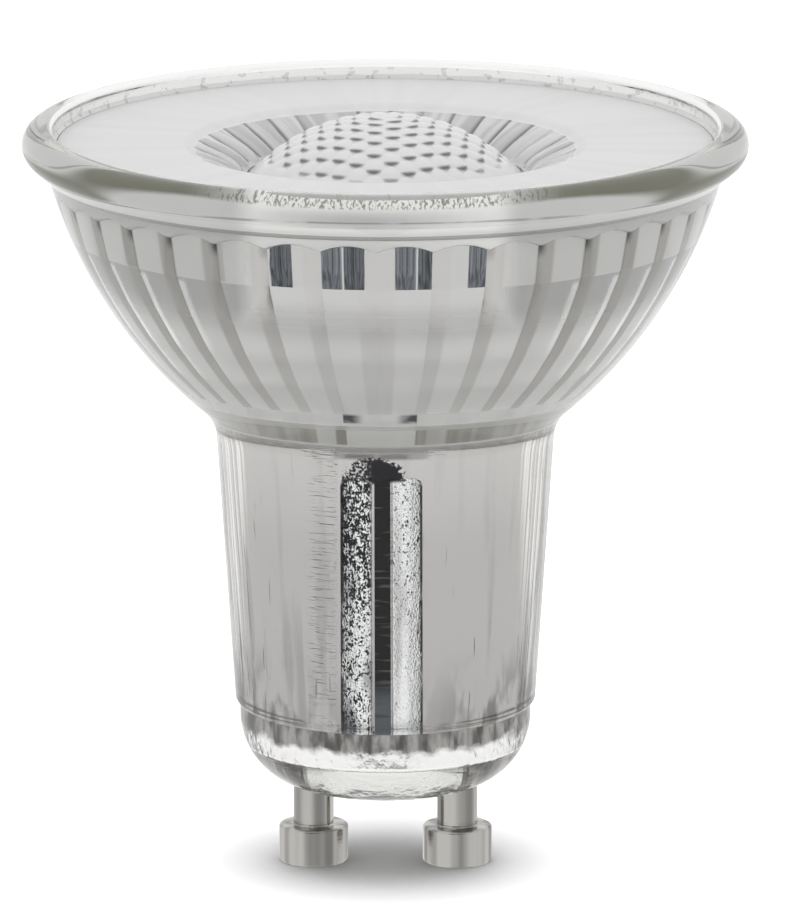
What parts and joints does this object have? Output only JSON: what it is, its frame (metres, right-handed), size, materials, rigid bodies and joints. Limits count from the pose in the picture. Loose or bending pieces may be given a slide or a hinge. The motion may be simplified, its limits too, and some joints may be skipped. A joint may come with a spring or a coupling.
{
  "type": "spotlight bulb",
  "caption": "Reflector spotlight bulb of clear pressed glass with a mirrored fluted bowl, a domed lens of small facets in a frosted ring, and a rounded base with button-headed twist-lock pins.",
  "frame": {"origin": "on the bulb's axis, in the plane of the pin heads' lower faces", "axes": "+Z along the bulb's axis towards the lens, +X through the centres of the pins"},
  "size_m": [0.05, 0.05, 0.0529],
  "materials": {
    "clear_glass": "pressed, inner wall aluminised",
    "clear_lens": "clear dome, frosted ring",
    "sealant": "translucent",
    "nickel": "nickel plated",
    "aluminium": "spun",
    "thermal_pad": "matte",
    "white_board": "white solder mask",
    "white_silicone": "matte",
    "phosphor": "matte",
    "green_board": "solder mask",
    "resistor_coat": "lacquered",
    "black_moulding": "moulded",
    "can_sleeve": "sleeved",
    "ferrite": "sintered",
    "copper": "enamelled wire",
    "chip_ceramic": "glazed top",
    "white_lead": "insulated wire",
    "red_lead": "insulated wire",
    "black_lead": "insulated wire"
  },
  "bodies": {
    "root": {"glass_reflector": "clear_glass", "front_lens": "clear_lens", "lens_sealant": "sealant", "contact_pin_left": "nickel", "contact_pin_right": "nickel", "heat_spreader": "aluminium", "thermal_pad": "thermal_pad", "led_board": "white_board", "emitter_dam": "white_silicone", "emitter_phosphor": "phosphor", "driver_board": "green_board", "fuse_resistor": "resistor_coat", "bridge_rectifier": "black_moulding", "bulk_capacitor": "can_sleeve", "output_capacitor": "can_sleeve", "inductor_core": "ferrite", "inductor_winding": "copper", "driver_chip": "black_moulding", "recovery_diode": "black_moulding", "start_resistor_lower": "chip_ceramic", "start_resistor_upper": "chip_ceramic", "sense_resistor": "chip_ceramic", "bleed_resistor": "chip_ceramic", "mains_lead_left": "white_lead", "mains_lead_right": "white_lead", "led_lead_positive": "red_lead", "led_lead_negative": "black_lead"}
  },
  "joints": []
}
